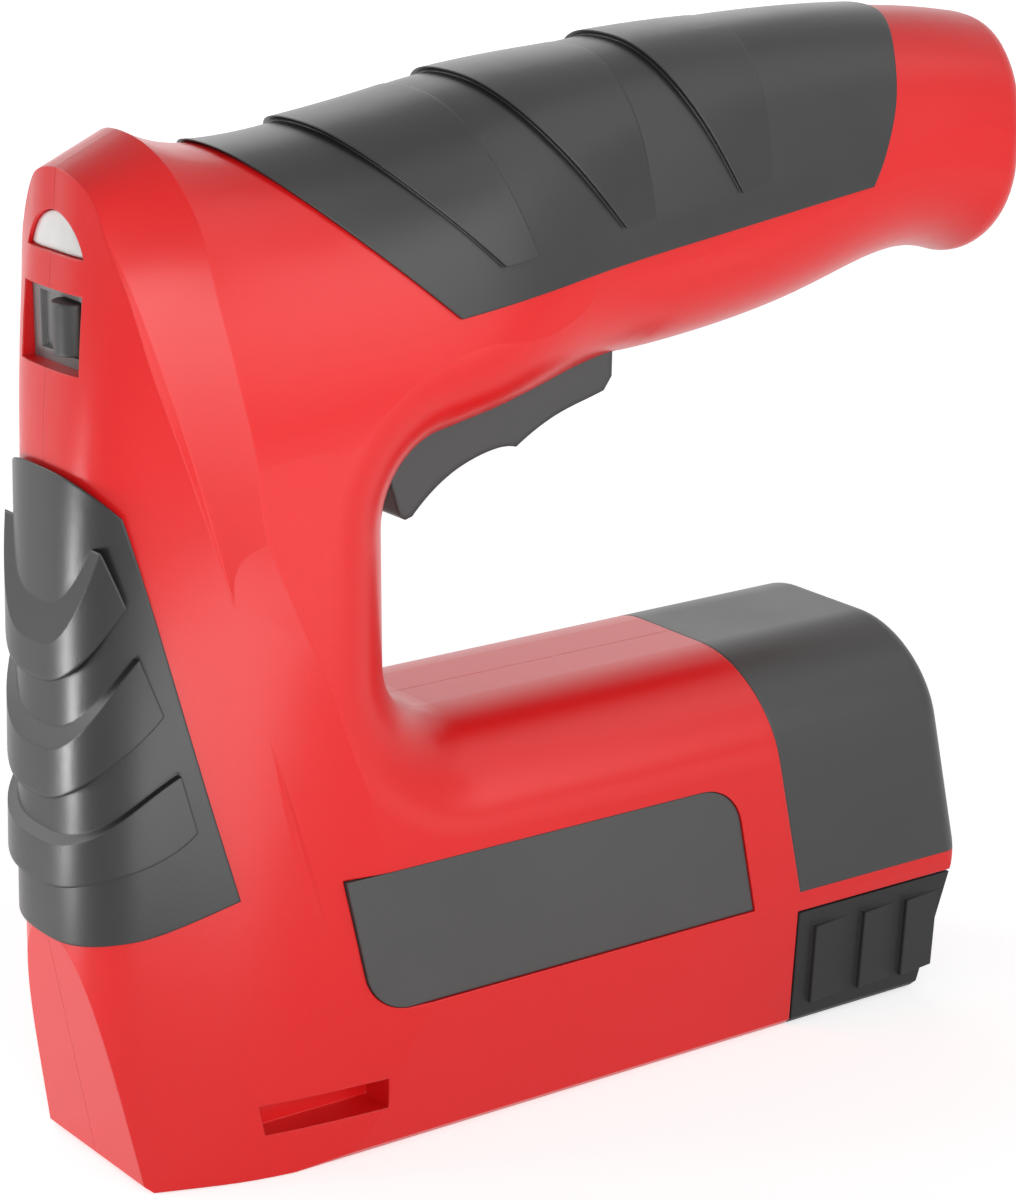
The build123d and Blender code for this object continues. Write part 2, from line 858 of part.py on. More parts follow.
with BuildPart() as switch_knob:
    add(rod_z(plate_front - knob_depth + knob_round, knob_y, knob_low, knob_high, knob_round))
    ahead = block(plate_front - knob_depth - 1, plate_front, knob_y - 5, knob_y + 5, knob_low, knob_high)
    add(ahead, mode=Mode.INTERSECT)
    add(block(plate_front, knob_back, knob_y - knob_half, knob_y + knob_half, knob_low, knob_high))
    add(block(knob_back, keeper_front, knob_y - stem_half, knob_y + stem_half, stem_low, stem_high))
    add(block(keeper_front, keeper_front + 1.3, knob_y - 2.2, knob_y + 2.2, 109.5, 113.5))
save("switch_knob", switch_knob.part)

# Trigger
rear_scoop = [(64.4, 94.4), (61.9, 93.7), (58.5, 92.8), (55.2, 91.6), (52.4, 90.2), (50.1, 88.8)]
front_scoop = [(50.1, 88.8), (48.4, 89.1), (46, 88.9), (43.2, 88.2), (39.8, 86.8), (36.3, 84.5), (33.6, 82)]
seat_top = 97.0  # foot of the return spring
arm_level = 101.0  # face under the switch button
with BuildPart() as trigger:
    with BuildSketch(Plane.XZ):
        with BuildLine():
            Spline(rear_scoop)
            Spline(front_scoop)
            Polyline(
                front_scoop[-1],
                (32.5, 81.7),
                (31.8, 82.3),
                (30.3, 87.3),
                (30.3, 94.3),
                (36.5, 95.6),
                (37, seat_top),
                (44.2, seat_top),
                (44.2, arm_level),
                (60, arm_level),
                (pivot_x - barrel_radius, pivot_height + 2),
                (pivot_x, pivot_height + barrel_radius),
                (pivot_x, pivot_height - barrel_radius),
                (65.8, pivot_height - barrel_radius),
                (65.7, 96.2),
                rear_scoop[0],
            )
        make_face()
    extrude(amount=trigger_half, both=True)
    add(rod_y(pivot_x, pivot_height, -trigger_half, trigger_half, barrel_radius))
    add(rod_y(pivot_x, pivot_height, -20, 20, pin_radius + run_gap), mode=Mode.SUBTRACT)
save("trigger", trigger.part)
save("trigger_pin", rod_y(pivot_x, pivot_height, -12, 12, pin_radius))


def tube_z(x, y, z0, z1, outer, inner):
    return mixed(rod_z(x, y, z0, z1, outer), [], [rod_z(x, y, z0 - 1, z1 + 1, inner)])


def tube_x(x0, x1, y, z, outer, inner):
    return mixed(rod_x(x0, x1, y, z, outer), [], [rod_x(x0 - 1, x1 + 1, y, z, inner)])


save("trigger_spring", tube_z(40, 0, seat_top, 106, 2.6, 2.0))
plunger_pocket = block(49, 52, -1.85, 1.85, 105.9, 111.5)
save("trigger_switch", mixed(switch_box, [], [plunger_pocket]))
save("switch_button", block(49.35, 51.65, -1.5, 1.5, arm_level + seat_gap, 108))

# Cell
cell_rear = cell_front + cell_length
save("battery_cell", rod_x(cell_front, cell_rear, 0, cell_height, cell_radius))
with BuildPart() as battery_contacts:
    add(block(cell_front - 1, cell_front, -6, 6, 118, 131))
    add(block(cell_rear, cell_rear + 1, -6, 6, 118, 131))
save("battery_contacts", battery_contacts.part)
socket = shared(rod_x(socket_front, 145, 0, socket_height, socket_radius), body)
save("charge_socket", mixed(socket, [], [rod_x(socket_front + 4, 145, 0, socket_height, inlet_radius)]))

# Control board in the cap
board_x = 104.0
with BuildPart() as control_board:
    add(block(board_x, board_x + 1.6, -14, 14, shelf_top, 46))
    add(rod_x(board_x + 1.6, board_x + 7, -6, 30, 4))
    add(block(board_x + 1.6, board_x + 3.4, 2, 10, 26, 34))
    add(block(board_x + 1.6, board_x + 4, -4, 4, 38, 44))
save("control_board", control_board.part)


# Gears: involute teeth as one shared outline
def tooth_face(teeth, module, tip, root, fill):
    pitch_radius = teeth * module / 2
    base_radius = pitch_radius * cos(radians(pressure_angle))
    tip_radius = pitch_radius + tip * module
    root_radius = pitch_radius - root * module
    low = max(base_radius, root_radius)

    def half_angle(radius):
        lean = acos(base_radius / radius)
        pitch_lean = radians(pressure_angle)
        return fill * pi / teeth + (tan(pitch_lean) - pitch_lean) - (tan(lean) - lean)

    flank = []
    for step in range(4):
        radius = low + (tip_radius - low) * step / 3
        angle = half_angle(radius)
        flank.append((radius * cos(angle), radius * sin(angle)))
    foot_radius = root_radius - 0.2 * module
    foot = (foot_radius * cos(half_angle(low)), foot_radius * sin(half_angle(low)))
    with BuildSketch() as made:
        with BuildLine():
            Spline(flank)
            Line(flank[-1], (flank[-1][0], -flank[-1][1]))
            Spline([(x, -y) for x, y in flank])
            Polyline((flank[0][0], -flank[0][1]), (foot[0], -foot[1]), foot, flank[0])
        make_face()
    return made.sketch, root_radius


def gear_face(teeth, module, tip, root, fill, places):
    tooth, root_radius = tooth_face(teeth, module, tip, root, fill)
    with BuildSketch() as made:
        Circle(root_radius)
        for place in places:
            add(tooth, rotation=place * 360 / teeth)
    return made.sketch


def gear_x(face, x0, x1, y, z):
    with BuildPart() as made:
        with BuildSketch(Plane.YZ.offset(x0)):
            with Locations((y, z)):
                add(face)
        extrude(amount=x1 - x0)
    return made.part


shaft_radius = 2.5
pinion_front = 8.0
pinion_rear = 15.0
carrier_front = gearbox_front + 3.2
carrier_rear = carrier_front + 3.2
gear_front = carrier_rear + 0.6
gear_rear = gear_front + 7.5
planet_orbit = (sun_teeth + planet_teeth) * planet_module / 2
axle_radius = 1.2

pinion_face = gear_face(pinion_teeth, pinion_module, gear_tip, gear_root, gear_fill, pinion_kept)
shaft_hole = rod_x(0, 60, 0, drive_height, shaft_radius)
pinion = gear_x(pinion_face, pinion_front, pinion_rear, 0, drive_height)
save("lift_pinion", mixed(pinion, [], [shaft_hole]))

axle_spots = []
for turn in range(3):
    angle = turn * 2 * pi / 3
    axle_spots.append((planet_orbit * cos(angle), drive_height + planet_orbit * sin(angle)))
with BuildPart() as planet_carrier:
    add(rod_x(carrier_front, carrier_rear, 0, drive_height, 10))
    add(rod_x(pinion_front - 0.5, carrier_front, 0, drive_height, shaft_radius))
    for y, z in axle_spots:
        add(rod_x(carrier_rear, gear_rear + 0.5, y, z, axle_radius))
save("planet_carrier", planet_carrier.part)

bearing_bore = shaft_radius + run_gap
with BuildPart() as shaft_bearings:
    add(tube_x(bearing_front, bearing_front + bearing_length, 0, drive_height, bearing_radius, bearing_bore))
    add(tube_x(gearbox_front, gearbox_front + 2.5, 0, drive_height, bearing_radius, bearing_bore))
save("shaft_bearings", shaft_bearings.part)

planet_face = gear_face(
    planet_teeth, planet_module, gear_tip, gear_root, gear_fill, [n + 0.5 for n in range(planet_teeth)]
)
for number, (y, z) in enumerate(axle_spots):
    with BuildPart() as planet:
        with BuildSketch(Plane.YZ.offset(gear_front)):
            with Locations(Location((y, z, 0), number * 120)):
                add(planet_face)
        extrude(amount=gear_rear - gear_front)
        add(rod_x(0, 90, y, z, axle_radius + run_gap), mode=Mode.SUBTRACT)
    save("planet_gear_" + "abc"[number], planet.part)

ring_places = [n + 0.5 for n in range(ring_teeth)]
ring_face = gear_face(ring_teeth, planet_module, gear_root, gear_tip, 1 - gear_fill, ring_places)
case_bore = 11.6
with BuildPart() as gearbox_case:
    add(rod_x(gearbox_front, motor_front, 0, drive_height, gearbox_radius))
    for piece in (
        rod_x(gearbox_front - 1, gearbox_front + 3, 0, drive_height, bearing_radius),
        rod_x(gearbox_front + 2.5, gear_front - 0.2, 0, drive_height, case_bore),
        rod_x(gear_rear + 0.5, motor_front + 1, 0, drive_height, case_bore),
        gear_x(ring_face, gear_front - 1, gear_rear + 1, 0, drive_height),
    ):
        add(piece, mode=Mode.SUBTRACT)
save("gearbox_case", gearbox_case.part)

rotor_radius = 1.15
with BuildPart() as motor_case:
    add(rod_x(motor_front, motor_rear, 0, drive_height, motor_radius))
    add(rod_x(motor_front + 2, motor_rear - 2, 0, drive_height, case_bore), mode=Mode.SUBTRACT)
    add(rod_x(motor_front - 1, motor_rear + 1, 0, drive_height, rotor_radius + run_gap), mode=Mode.SUBTRACT)
save("motor_case", motor_case.part)
sun_places = list(range(sun_teeth))
sun_face = gear_face(sun_teeth, planet_module, gear_tip, gear_root, gear_fill, sun_places)
with BuildPart() as motor_rotor:
    add(gear_x(sun_face, gear_front, gear_rear, 0, drive_height))
    add(rod_x(gear_front, motor_rear + 1.5, 0, drive_height, rotor_radius))
    add(rod_x(motor_front + 7, motor_rear - 8, 0, drive_height, 10.8))
    add(rod_x(motor_rear - 7, motor_rear - 4, 0, drive_height, 4))
save("motor_rotor", motor_rotor.part)

# Hammer with its rack, and the blade it drives
hammer_foot = 24.0
hammer_top = 50.0
hammer_front = -3.5
hammer_rear = 6.0
pinion_pitch = pinion_teeth * pinion_module / 2
rack_root = pinion_pitch + gear_root * pinion_module
rack_tip = pinion_pitch - gear_tip * pinion_module
rack_step = pi * pinion_module
rack_slope = tan(radians(pressure_angle))
root_half = gear_fill * rack_step / 2 + gear_root * pinion_module * rack_slope
tip_half = gear_fill * rack_step / 2 - gear_tip * pinion_module * rack_slope
spring_x = 1.25
blade_top = 40.0
with BuildPart() as hammer:
    add(block(hammer_front, hammer_rear, -hammer_half, hammer_half, hammer_foot, hammer_top))
    add(block(hammer_rear - 1, pinion_rear, rack_root, hammer_half, 19, 43))
    add(rod_z(spring_x, 0, hammer_top, hammer_top + 3, 4.5))
    for place in range(-5, 2):
        middle = drive_height + place * rack_step
        with BuildSketch(Plane.YZ.offset(pinion_front)):
            Polygon(
                (rack_root + 0.5, middle - root_half), (rack_root, middle - root_half),
                (rack_tip, middle - tip_half), (rack_tip, middle + tip_half),
                (rack_root, middle + root_half), (rack_root + 0.5, middle + root_half), align=None,
            )
        extrude(amount=pinion_rear - pinion_front)
    blade_seat = block(-blade_half, blade_half, -blade_span, blade_span, hammer_foot - 1, blade_top)
    add(blade_seat, mode=Mode.SUBTRACT)
save("hammer", hammer.part)
save("driver_blade", block(-blade_half, blade_half, -blade_span, blade_span, blade_tip, blade_top))
save("drive_spring", tube_z(spring_x, 0, hammer_top, spring_seat, 6.5, 5.0))
save("spring_rod", rod_z(spring_x, 0, 70, spring_seat, 4.2))
bumper_half = well_half - seat_gap
bumper_front = well_front + 0.1
bumper = block(bumper_front, hammer_rear - 1 - slide_gap, -bumper_half, bumper_half, 16, hammer_foot)
blade_way = block(2 * plate_rear, -2 * plate_rear, -slot_span - 0.5, slot_span + 0.5, 10, 30)
save("bumper", mixed(bumper, [], [blade_way]))

# Magazine
roof_level = channel_roof + channel_wall
channel = block(1, 88, -tunnel_half, tunnel_half, 1, roof_level)
save("magazine_channel", mixed(channel, [], [block(0, 90, -channel_inner, channel_inner, 0, channel_roof)]))
save("nose_plate", block(tunnel_front, plate_rear, -tunnel_half, tunnel_half, 0.4, roof_level))
rail_rear = 98.0
groove_rear = 90.0
rail = block(stick_front, rail_rear, -rail_half, rail_half, rail_foot, rail_top)
groove_half = 3.4
save("magazine_rail", mixed(rail, [], [block(10, groove_rear, -groove_half, groove_half, 2, 20)]))
crown_low = rail_top + 0.1
staple_top = crown_low + staple_wire
stick_rear = stick_front + stick_length
sticks = block(stick_front, stick_rear, -staple_half, staple_half, staple_top - staple_leg, staple_top)
inside = staple_half - staple_wire
save("staples", mixed(sticks, [], [block(0, 60, -inside, inside, -1, crown_low)]))
pusher_front = stick_rear + 0.1
pusher_rear = pusher_front + 12
pusher_half = channel_inner - slide_gap
with BuildPart() as pusher:
    add(block(pusher_front, pusher_rear, -pusher_half, pusher_half, crown_low, channel_roof - slide_gap))
    add(block(pusher_front, pusher_rear, -groove_half + slide_gap, groove_half - slide_gap, 2.4, crown_low))
save("pusher", pusher.part)
save("pusher_spring", tube_x(pusher_rear, groove_rear, 0, 5.2, 2.8, 2.2))

grip_zone = block(latch_front + slide_gap, 140, -40, 40, -1, latch_top - slide_gap)
rib_places = [93.5, 102.5, 110.5]
rib_proud = 0.8
rib_fade = 6.5
draft = (body_half - base_half) / kink_height
with BuildPart() as magazine_grip:
    add(shared(body, grip_zone))
    for x in rib_places:
        for side in (-1, 1):
            low_y = side * (base_half + draft * 3)
            with BuildSketch(Plane.XY.offset(3)):
                Polygon(
                    (x, low_y - side), (x, low_y + side * rib_proud), (x + rib_fade, low_y),
                    (x + rib_fade, low_y - side), align=None,
                )
            extrude(amount=12, dir=(0, side * draft, 1))
    add(block(80, rail_rear, -rail_half, rail_half, rail_foot, rail_top), mode=Mode.SUBTRACT)
save("magazine_grip", magazine_grip.part)
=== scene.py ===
import json
import math
import bmesh
import bpy
from mathutils import Matrix, Vector

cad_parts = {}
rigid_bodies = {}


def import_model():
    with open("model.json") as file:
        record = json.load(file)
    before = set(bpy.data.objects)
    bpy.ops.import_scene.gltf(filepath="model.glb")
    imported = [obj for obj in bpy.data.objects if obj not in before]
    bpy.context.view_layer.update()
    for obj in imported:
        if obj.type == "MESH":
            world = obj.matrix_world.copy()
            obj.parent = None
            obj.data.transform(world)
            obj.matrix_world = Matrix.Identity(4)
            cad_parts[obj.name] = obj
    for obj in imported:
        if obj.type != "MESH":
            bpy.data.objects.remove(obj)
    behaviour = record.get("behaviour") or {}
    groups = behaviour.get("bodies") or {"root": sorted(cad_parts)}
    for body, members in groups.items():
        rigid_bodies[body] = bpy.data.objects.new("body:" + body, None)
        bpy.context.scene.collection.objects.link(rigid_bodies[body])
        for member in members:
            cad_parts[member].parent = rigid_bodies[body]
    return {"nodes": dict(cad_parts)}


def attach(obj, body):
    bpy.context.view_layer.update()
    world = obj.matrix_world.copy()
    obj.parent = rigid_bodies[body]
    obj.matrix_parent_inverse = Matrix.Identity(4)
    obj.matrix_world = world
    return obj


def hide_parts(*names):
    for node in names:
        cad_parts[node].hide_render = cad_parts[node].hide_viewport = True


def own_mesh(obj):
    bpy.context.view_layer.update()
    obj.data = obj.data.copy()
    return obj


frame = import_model()
nodes = frame["nodes"]
scene = bpy.context.scene
for spare in [o for o in bpy.data.objects if o.name in ("Cube", "Light", "Camera")]:
    bpy.data.objects.remove(spare)  # what a new file opens with
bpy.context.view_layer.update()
scene.view_settings.view_transform = "Standard"
print("frame loaded,", len(nodes), "pieces")

noiseLook = {"cloudDetail": 3.0, "grainDetail": 2.0, "easeFrom": 0.2, "easeTo": 0.8, "edgeSamples": 6}


def toLinear(rgb):  # colours are written as a paint chart gives them, 0 to 255
    values = []
    for part in rgb:
        part = part / 255
        values.append(part / 12.92 if part <= 0.04045 else ((part + 0.055) / 1.055) ** 2.4)
    return (values[0], values[1], values[2], 1)


def startFinish(name):
    finish = bpy.data.materials.new(name)
    finish.use_nodes = True
    return finish, finish.node_tree, finish.node_tree.nodes["Principled BSDF"]


def addNode(tree, kind, **values):
    node = tree.nodes.new(kind)
    for key, value in values.items():
        node.inputs[key].default_value = value
    return node


def addNoise(tree, size, detail, stretch=(1, 1, 1)):  # size of a speck in metres
    coords = tree.nodes.new("ShaderNodeTexCoord")
    place = addNode(tree, "ShaderNodeMapping", Scale=stretch)
    noise = addNode(tree, "ShaderNodeTexNoise", Scale=1 / size, Detail=detail)
    tree.links.new(coords.outputs["Object"], place.inputs["Vector"])
    tree.links.new(place.outputs["Vector"], noise.inputs["Vector"])
    return noise.outputs["Fac"]


def addSpan(tree, source, low, high):  # noise eased into a range of values
    span = tree.nodes.new("ShaderNodeMapRange")
    span.interpolation_type = "SMOOTHSTEP"
    span.inputs["From Min"].default_value = noiseLook["easeFrom"]
    span.inputs["From Max"].default_value = noiseLook["easeTo"]
    span.inputs["To Min"].default_value = low
    span.inputs["To Max"].default_value = high
    tree.links.new(source, span.inputs["Value"])
    return span.outputs["Result"]


def addTint(tree, source, low, high):  # noise turned into a blend of two colours
    blend = tree.nodes.new("ShaderNodeMix")
    blend.data_type = "RGBA"
    factor, first, second = blend.inputs[0], blend.inputs[6], blend.inputs[7]  # 6 and 7 are the colours
    first.default_value, second.default_value = toLinear(low), toLinear(high)
    tree.links.new(addSpan(tree, source, 0, 1), factor)
    return blend.outputs[2]


def addRelief(tree, source, depth, edge):  # fine grain over softly broken edges
    soft = tree.nodes.new("ShaderNodeBevel")
    soft.samples = noiseLook["edgeSamples"]
    soft.inputs["Radius"].default_value = edge
    bump = addNode(tree, "ShaderNodeBump", Strength=1.0, Distance=depth)
    tree.links.new(source, bump.inputs["Height"])
    tree.links.new(soft.outputs["Normal"], bump.inputs["Normal"])
    return bump.outputs["Normal"]


def dressShader(tree, shader, look, tint, cloud, relief, depth):  # colour, roughness and relief
    tree.links.new(addTint(tree, tint, look["dark"], look["light"]), shader.inputs["Base Color"])
    tree.links.new(addSpan(tree, cloud, *look["rough"]), shader.inputs["Roughness"])
    tree.links.new(addRelief(tree, relief, depth, look["edge"]), shader.inputs["Normal"])


def moulded(name, look):  # plastic and rubber out of a textured mould
    finish, tree, shader = startFinish(name)
    cloud = addNoise(tree, look["cloudSize"], noiseLook["cloudDetail"])
    grain = addNoise(tree, look["grainSize"], noiseLook["grainDetail"])
    dressShader(tree, shader, look, cloud, cloud, grain, look["grainDepth"])
    shader.inputs["Specular IOR Level"].default_value = look["gloss"]
    return finish


def drawnMetal(name, look):  # steel and brass, with the lines of the rolling along one axis
    finish, tree, shader = startFinish(name)
    lines = addNoise(tree, look["lineSize"], noiseLook["grainDetail"], look["stretch"])
    cloud = addNoise(tree, look["cloudSize"], noiseLook["cloudDetail"])
    dressShader(tree, shader, look, lines, cloud, lines, look["lineDepth"])
    shader.inputs["Metallic"].default_value = 1.0
    return finish


redShellLook = {
    "light": (216, 24, 26), "dark": (213, 23, 25), "cloudSize": 0.05,
    "grainSize": 0.00045, "grainDepth": 0.000006, "rough": (0.28, 0.3), "gloss": 0.4, "edge": 0.0003,
}
gripRubberLook = {
    "light": (34, 34, 34), "dark": (31, 31, 31), "cloudSize": 0.012,
    "grainSize": 0.0004, "grainDepth": 0.00001, "rough": (0.32, 0.36), "gloss": 0.5, "edge": 0.00035,
}
padRubberLook = {
    "light": (30, 30, 30), "dark": (27, 27, 27), "cloudSize": 0.012,
    "grainSize": 0.0004, "grainDepth": 0.00001, "rough": (0.3, 0.34), "gloss": 0.5, "edge": 0.00035,
}
capPlasticLook = {
    "light": (58, 58, 58), "dark": (55, 55, 55), "cloudSize": 0.02,
    "grainSize": 0.0005, "grainDepth": 0.000008, "rough": (0.34, 0.4), "gloss": 0.4, "edge": 0.0006,
}
magazineGripLook = {
    "light": (44, 44, 44), "dark": (40, 40, 40), "cloudSize": 0.02,
    "grainSize": 0.0005, "grainDepth": 0.00001, "rough": (0.5, 0.58), "gloss": 0.25, "edge": 0.0005,
}
triggerLook = {
    "light": (58, 58, 58), "dark": (53, 53, 53), "cloudSize": 0.015,
    "grainSize": 0.0005, "grainDepth": 0.000008, "rough": (0.42, 0.5), "gloss": 0.5, "edge": 0.0012,
}
panelLook = {
    "light": (72, 72, 72), "dark": (67, 67, 67), "cloudSize": 0.03,
    "grainSize": 0.0006, "grainDepth": 0.000005, "rough": (0.42, 0.5), "gloss": 0.4, "edge": 0.0003,
}
switchPlateLook = {
    "light": (132, 134, 134), "dark": (122, 124, 124), "cloudSize": 0.006,
    "grainSize": 0.0004, "grainDepth": 0.000006, "rough": (0.4, 0.48), "gloss": 0.5, "edge": 0.0003,
}
switchKnobLook = {
    "light": (50, 50, 50), "dark": (42, 42, 42), "cloudSize": 0.004,
    "grainSize": 0.0003, "grainDepth": 0.000008, "rough": (0.38, 0.46), "gloss": 0.5, "edge": 0.0006,
}
nylonLook = {
    "light": (233, 230, 219), "dark": (222, 218, 205), "cloudSize": 0.006,
    "grainSize": 0.0003, "grainDepth": 0.000006, "rough": (0.42, 0.52), "gloss": 0.45, "edge": 0.0002,
}
steelLook = {
    "light": (208, 209, 211), "dark": (180, 181, 184), "cloudSize": 0.006, "stretch": (0.06, 1, 1),
    "lineSize": 0.0004, "lineDepth": 0.000004, "rough": (0.28, 0.36), "edge": 0.0002,
}
springWireLook = {
    "light": (178, 179, 182), "dark": (150, 151, 155), "cloudSize": 0.004, "stretch": (1, 1, 0.1),
    "lineSize": 0.0003, "lineDepth": 0.000003, "rough": (0.28, 0.38), "edge": 0.0001,
}
brassLook = {
    "light": (224, 198, 128), "dark": (205, 174, 104), "cloudSize": 0.004, "stretch": (0.1, 1, 1),
    "lineSize": 0.0003, "lineDepth": 0.000003, "rough": (0.28, 0.36), "edge": 0.0001,
}
redShell = moulded("redShell", redShellLook)
gripRubber = moulded("gripRubber", gripRubberLook)
padRubber = moulded("padRubber", padRubberLook)
capPlastic = moulded("capPlastic", capPlasticLook)
magazineGripPlastic = moulded("magazineGripPlastic", magazineGripLook)
triggerPlastic = moulded("triggerPlastic", triggerLook)
panelGrey = moulded("panelGrey", panelLook)
switchPlateGrey = moulded("switchPlateGrey", switchPlateLook)
switchKnobBlack = moulded("switchKnobBlack", switchKnobLook)
gearNylon = moulded("gearNylon", nylonLook)
brightSteel = drawnMetal("brightSteel", steelLook)
springWire = drawnMetal("springWire", springWireLook)
contactBrass = drawnMetal("contactBrass", brassLook)

lensLook = {
    "light": (250, 250, 248), "dark": (230, 230, 228), "cloudSize": 0.006, "grainSize": 0.0012,
    "grainDepth": 0.00001, "detail": 1.0, "rough": (0.12, 0.2), "edge": 0.0005,
    "through": 0.2, "coat": 0.6, "coatRough": 0.08,
}


def milkyLens(name, look):  # clear plastic with a little milk in it, in front of the lamps
    finish, tree, shader = startFinish(name)
    cloud = addNoise(tree, look["cloudSize"], look["detail"])
    grain = addNoise(tree, look["grainSize"], look["detail"])
    dressShader(tree, shader, look, cloud, cloud, grain, look["grainDepth"])
    shader.inputs["Transmission Weight"].default_value = look["through"]
    shader.inputs["Coat Weight"].default_value = look["coat"]
    shader.inputs["Coat Roughness"].default_value = look["coatRough"]
    return finish


boardLook = {
    "mask": (24, 96, 52), "track": (46, 124, 74), "trackSize": 0.0016, "brickSize": 0.25, "gap": 0.05,
    "depth": 0.00002, "cloudSize": 0.003, "detail": 2.0, "rough": (0.28, 0.4), "edge": 0.0002,
}


def lacquerBoard(name, look):  # tracks under green lacquer
    finish, tree, shader = startFinish(name)
    coords = tree.nodes.new("ShaderNodeTexCoord")
    tracks = tree.nodes.new("ShaderNodeTexBrick")
    tracks.inputs["Scale"].default_value = look["brickSize"] / look["trackSize"]
    tracks.inputs["Color1"].default_value = toLinear(look["mask"])
    tracks.inputs["Color2"].default_value = toLinear(look["mask"])
    tracks.inputs["Mortar"].default_value = toLinear(look["track"])
    tracks.inputs["Mortar Size"].default_value = look["gap"]
    tree.links.new(coords.outputs["Object"], tracks.inputs["Vector"])
    tree.links.new(tracks.outputs["Color"], shader.inputs["Base Color"])
    cloud = addNoise(tree, look["cloudSize"], look["detail"])
    tree.links.new(addSpan(tree, cloud, *look["rough"]), shader.inputs["Roughness"])
    relief = addRelief(tree, tracks.outputs["Fac"], look["depth"], look["edge"])
    tree.links.new(relief, shader.inputs["Normal"])
    return finish


sleeveLook = {
    "light": (44, 98, 176), "dark": (36, 84, 158), "cloudSize": 0.008, "detail": 2.0, "wrinkleSize": 0.002,
    "wrinkleDepth": 0.00002, "stretch": (0.2, 1, 1), "rough": (0.28, 0.34), "edge": 0.0004,
}


def shrinkSleeve(name, look):  # thin film drawn tight round the cell
    finish, tree, shader = startFinish(name)
    cloud = addNoise(tree, look["cloudSize"], look["detail"])
    wrinkles = addNoise(tree, look["wrinkleSize"], look["detail"], look["stretch"])
    dressShader(tree, shader, look, cloud, cloud, wrinkles, look["wrinkleDepth"])
    return finish


lensPlastic = milkyLens("lensPlastic", lensLook)
greenBoard = lacquerBoard("greenBoard", boardLook)
cellSleeve = shrinkSleeve("cellSleeve", sleeveLook)
print("finishes made,", len(bpy.data.materials))

finishOfNode = {
    "left_housing": redShell, "right_housing": redShell, "switch_button": redShell,
    "handle_grip": gripRubber, "bumper": gripRubber, "nose_pad": padRubber, "rear_cap": capPlastic,
    "magazine_grip": magazineGripPlastic, "left_label_panel": panelGrey, "right_label_panel": panelGrey,
    "light_lens": lensPlastic, "light_board": greenBoard, "control_board": greenBoard,
    "switch_plate": switchPlateGrey, "switch_knob": switchKnobBlack, "trigger_switch": switchKnobBlack,
    "charge_socket": switchKnobBlack, "trigger": triggerPlastic, "battery_cell": cellSleeve,
    "battery_contacts": contactBrass, "shaft_bearings": contactBrass, "gearbox_case": gearNylon,
    "planet_gear_a": gearNylon, "planet_gear_b": gearNylon, "planet_gear_c": gearNylon,
    "housing_screws": brightSteel, "trigger_pin": brightSteel, "motor_case": brightSteel,
    "motor_rotor": brightSteel, "planet_carrier": brightSteel, "lift_pinion": brightSteel,
    "hammer": brightSteel, "driver_blade": brightSteel, "spring_rod": brightSteel,
    "magazine_channel": brightSteel, "magazine_rail": brightSteel, "staples": brightSteel,
    "pusher": brightSteel, "nose_plate": brightSteel, "trigger_spring": springWire,
    "drive_spring": springWire, "pusher_spring": springWire,
}
for name, finish in finishOfNode.items():
    piece = nodes[name]
    if not piece.material_slots:
        piece.data.materials.append(finish)
    for place in piece.material_slots:
        place.material = finish
print("pieces painted,", len(finishOfNode))

coilLook = {"sides": 10, "perTurn": 28, "closed": 0.9}  # how finely a wire is drawn, and its end turns' pitch


def woundWire(name, look):  # a closed-end compression spring, wound in mesh
    turns, sides, perTurn, wire = look["turns"], coilLook["sides"], coilLook["perTurn"], look["wire"]
    steps = turns * perTurn
    length = look["end"] - look["start"] - wire
    closed = wire * coilLook["closed"]
    points = []
    for step in range(steps + 1):
        share = step / steps
        wound = (share * turns - look["dead"]) / (turns - 2 * look["dead"])
        eased = min(max(wound, 0), 1)  # flat end turns
        along = wire / 2 + closed * share + (length - closed) * eased
        angle = 2 * math.pi * step / perTurn
        points.append((angle, along))
    mesh = bmesh.new()
    rings = []
    for angle, along in points:
        ring = []
        for side in range(sides):
            around = 2 * math.pi * side / sides
            radius = look["radius"] + wire / 2 * math.cos(around)
            across, up = radius * math.cos(angle), radius * math.sin(angle)
            reach = look["start"] + along + wire / 2 * math.sin(around)
            if look["axis"] == "z":
                spot = (look["centre"][0] + across, look["centre"][1] + up, reach)
            else:
                spot = (reach, look["centre"][0] + across, look["centre"][1] + up)
            ring.append(mesh.verts.new(spot))
        rings.append(ring)
    for first, second in zip(rings, rings[1:]):
        for side in range(sides):
            after = (side + 1) % sides
            mesh.faces.new((first[side], first[after], second[after], second[side]))
    mesh.faces.new(rings[0])
    mesh.faces.new(rings[-1])
    bmesh.ops.recalc_face_normals(mesh, faces=mesh.faces)
    data = bpy.data.meshes.new(name)
    mesh.to_mesh(data)
    mesh.free()
    for face in data.polygons:
        face.use_smooth = len(face.vertices) == 4  # the wire's round, not its cut ends
    coil = bpy.data.objects.new(name, data)
    scene.collection.objects.link(coil)
    data.materials.append(springWire)
    return coil


driveSpringLook = {
    "axis": "z", "centre": (0.00125, 0), "start": 0.05, "end": 0.097, "radius": 0.00575, "wire": 0.0014,
    "turns": 11, "dead": 1,
}
driveSpring = woundWire("driveSpringWire", driveSpringLook)
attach(driveSpring, "frame")
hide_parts("drive_spring")
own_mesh(driveSpring)

triggerSpringLook = {
    "axis": "z", "centre": (0.04, 0), "start": 0.097, "end": 0.106, "radius": 0.0023, "wire": 0.00055,
    "turns": 7, "dead": 1,
}
triggerSpring = woundWire("triggerSpringWire", triggerSpringLook)
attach(triggerSpring, "frame")
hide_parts("trigger_spring")
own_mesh(triggerSpring)

